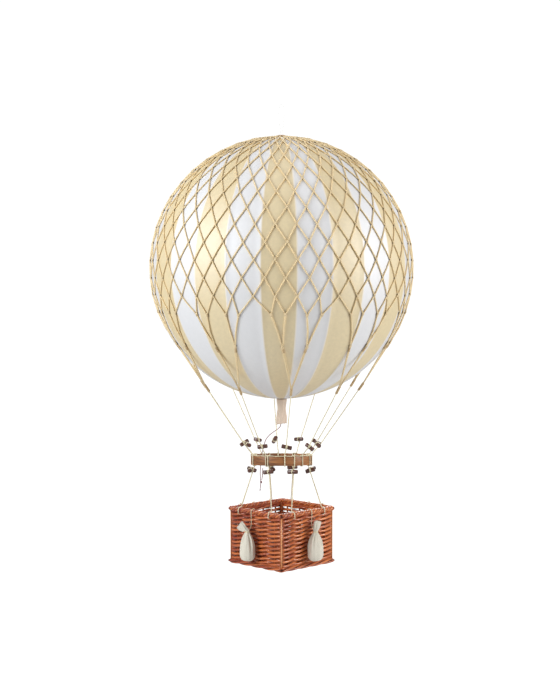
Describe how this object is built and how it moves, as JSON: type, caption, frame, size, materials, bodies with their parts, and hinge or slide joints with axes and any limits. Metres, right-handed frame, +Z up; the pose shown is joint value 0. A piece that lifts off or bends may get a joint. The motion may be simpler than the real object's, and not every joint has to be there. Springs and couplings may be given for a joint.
{
  "type": "hanging model gas balloon",
  "caption": "Decorative hanging model of a gas balloon: papered ball in a knotted net, wooden hoop with toggles, square wicker basket with sandbags.",
  "frame": {"origin": "top of the hanging loop, on the balloon's vertical axis; the whole model hangs below it", "axes": "+Z up along the balloon's axis; the basket's walls face +X, +Y, -X and -Y; the picture looks at the basket corner between +X and -Y"},
  "size_m": [0.3206, 0.3206, 0.56],
  "materials": {
    "pearl_paper": "pearly paper in alternate cream and white gores",
    "tan_cord": "waxed tan cord",
    "pale_cord": "pale twisted cord",
    "hoop_wood": "satin brown bentwood",
    "toggle_wood": "dark stained wood",
    "varnished_wicker": "glossy varnished willow",
    "calico": "undyed calico",
    "neck_cloth": "fine beige cloth",
    "clear_nylon": "clear monofilament",
    "red_thread": "twisted red and pink thread"
  },
  "bodies": {
    "balloon": {"basket_base": "varnished_wicker", "basket_floor": "varnished_wicker", "basket_line_1": "pale_cord", "basket_line_2": "pale_cord", "basket_line_3": "pale_cord", "basket_line_4": "pale_cord", "basket_line_5": "pale_cord", "basket_line_6": "pale_cord", "basket_line_7": "pale_cord", "basket_line_8": "pale_cord", "basket_rim": "varnished_wicker", "basket_toggle_1": "toggle_wood", "basket_toggle_2": "toggle_wood", "basket_toggle_3": "toggle_wood", "basket_toggle_4": "toggle_wood", "basket_toggle_5": "toggle_wood", "basket_toggle_6": "toggle_wood", "basket_toggle_7": "toggle_wood", "basket_toggle_8": "toggle_wood", "basket_wall": "varnished_wicker", "crown_button": "hoop_wood", "envelope": "pearl_paper", "hanging_loop": "clear_nylon", "hoop": "hoop_wood", "neck": "neck_cloth", "net": "tan_cord", "stay_01": "pale_cord", "stay_02": "pale_cord", "stay_03": "pale_cord", "stay_04": "pale_cord", "stay_05": "pale_cord", "stay_06": "pale_cord", "stay_07": "pale_cord", "stay_08": "pale_cord", "stay_09": "pale_cord", "stay_10": "pale_cord", "stay_toggle_01": "toggle_wood", "stay_toggle_02": "toggle_wood", "stay_toggle_03": "toggle_wood", "stay_toggle_04": "toggle_wood", "stay_toggle_05": "toggle_wood", "stay_toggle_06": "toggle_wood", "stay_toggle_07": "toggle_wood", "stay_toggle_08": "toggle_wood", "stay_toggle_09": "toggle_wood", "stay_toggle_10": "toggle_wood", "valve_line": "red_thread", "valve_line_tail": "red_thread"},
    "sandbag_1_swing": {"sandbag_1": "calico", "sandbag_cord_1": "pale_cord"},
    "sandbag_2_swing": {"sandbag_2": "calico", "sandbag_cord_2": "pale_cord"},
    "sandbag_3_swing": {"sandbag_3": "calico", "sandbag_cord_3": "pale_cord"},
    "sandbag_4_swing": {"sandbag_4": "calico", "sandbag_cord_4": "pale_cord"}
  },
  "joints": [
    {"name": "sandbag_1_hinge", "type": "hinge", "parent": "balloon", "child": "sandbag_1_swing", "pos_m": [0.0446, 0, -0.4928], "axis": [0, -1, 0], "range_deg": [0, 70]},
    {"name": "sandbag_2_hinge", "type": "hinge", "parent": "balloon", "child": "sandbag_2_swing", "pos_m": [0, 0.0446, -0.4928], "axis": [1, 0, 0], "range_deg": [0, 70]},
    {"name": "sandbag_3_hinge", "type": "hinge", "parent": "balloon", "child": "sandbag_3_swing", "pos_m": [-0.0446, 0, -0.4928], "axis": [0, 1, 0], "range_deg": [0, 70]},
    {"name": "sandbag_4_hinge", "type": "hinge", "parent": "balloon", "child": "sandbag_4_swing", "pos_m": [0, -0.0446, -0.4928], "axis": [-1, 0, 0], "range_deg": [0, 70]}
  ]
}
